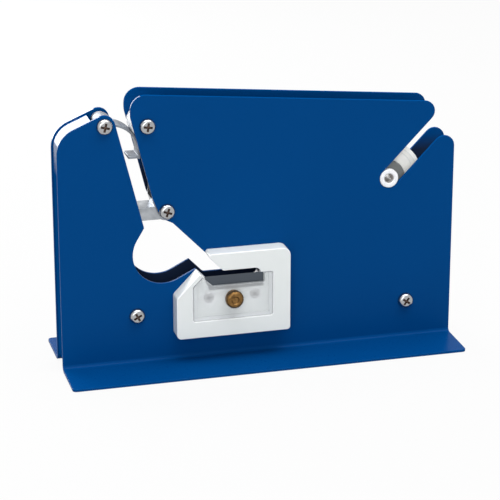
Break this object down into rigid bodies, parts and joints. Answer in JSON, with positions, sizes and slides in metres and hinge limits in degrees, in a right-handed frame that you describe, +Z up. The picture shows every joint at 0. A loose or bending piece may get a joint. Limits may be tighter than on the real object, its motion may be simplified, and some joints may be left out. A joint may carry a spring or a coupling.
{
  "type": "bag neck tape sealer",
  "caption": "Bench tape sealer for bag necks: folded blue plates with a slanted entry slot, tape wheel, sprung gripper and knife lever, and a neck trimmer on the front.",
  "frame": {"origin": "centre of the footprint, on the bench under the flanges", "axes": "+Z up, -Y towards the user in front, +X towards the tape wheel"},
  "size_m": [0.3, 0.104, 0.2059],
  "materials": {
    "blue_paint": "gloss",
    "bar_steel": "turned",
    "screw_nickel": "bright",
    "bright_steel": "bright zinc",
    "spring_steel": "drawn wire",
    "blade_steel": "ground",
    "collar_steel": "plain",
    "roller_nylon": "satin",
    "axle_plastic": "satin",
    "wheel_plastic": "satin",
    "white_plastic": "satin",
    "clear_plastic": "clear",
    "brass": "bright"
  },
  "bodies": {
    "stand": {"front_plate": "blue_paint", "rear_plate": "blue_paint", "end_cover": "blue_paint", "cross_bars": "bar_steel", "finger_pivot": "bar_steel", "roller_spindle": "bar_steel", "lever_pivot": "bar_steel", "lever_stop": "bar_steel", "front_screws": "screw_nickel", "rear_screws": "screw_nickel", "finger_spring": "spring_steel", "lever_spring": "spring_steel", "trimmer_housing": "white_plastic", "trimmer_blade": "blade_steel", "blade_guard": "clear_plastic", "trimmer_screws": "screw_nickel", "trimmer_nuts": "screw_nickel", "clamp_stud": "brass"},
    "roller": {"guide_roller": "roller_nylon"},
    "finger": {"gripper_finger": "bright_steel"},
    "lever": {"knife_lever": "bright_steel", "tape_knife": "blade_steel", "knife_rivets": "bright_steel"},
    "axle": {"tape_axle": "axle_plastic", "axle_collars": "collar_steel"},
    "wheel": {"tape_wheel": "wheel_plastic"},
    "washer": {"clamp_washer": "brass"},
    "nut": {"clamp_nut": "brass"}
  },
  "joints": [
    {"name": "roller_spin", "type": "hinge", "parent": "stand", "child": "roller", "pos_m": [-0.08385, 0, 0.18297], "axis": [0, 1, 0], "continuous": true},
    {"name": "finger_swing", "type": "hinge", "parent": "stand", "child": "finger", "pos_m": [-0.11499, 0, 0.18497], "axis": [0, 1, 0], "range_deg": [0, 30], "stiffness_Nm_per_rad": 0.12, "springref_deg": -22.92, "deforming": ["finger_spring"]},
    {"name": "lever_swing", "type": "hinge", "parent": "stand", "child": "lever", "pos_m": [-0.0703, 0, 0.1176], "axis": [0, -1, 0], "range_deg": [0, 60], "stiffness_Nm_per_rad": 0.12, "springref_deg": -22.92, "deforming": ["lever_spring"]},
    {"name": "axle_lift", "type": "slide", "parent": "stand", "child": "axle", "axis": [0.6947, 0, 0.7193], "range_m": [0, 0.12]},
    {"name": "wheel_spin", "type": "hinge", "parent": "axle", "child": "wheel", "pos_m": [0.0994, 0, 0.1286], "axis": [0, 1, 0], "continuous": true},
    {"name": "clamp_slide", "type": "slide", "parent": "stand", "child": "washer", "axis": [0, -1, 0], "range_m": [0, 0.0024]},
    {"name": "clamp_turn", "type": "hinge", "parent": "washer", "child": "nut", "pos_m": [-0.0238, 0, 0.0507], "axis": [0, -1, 0], "range_deg": [0, 1080]}
  ],
  "couplings": [
    {"joint": "clamp_turn", "follows": "clamp_slide", "rad_per_m": 7854}
  ]
}
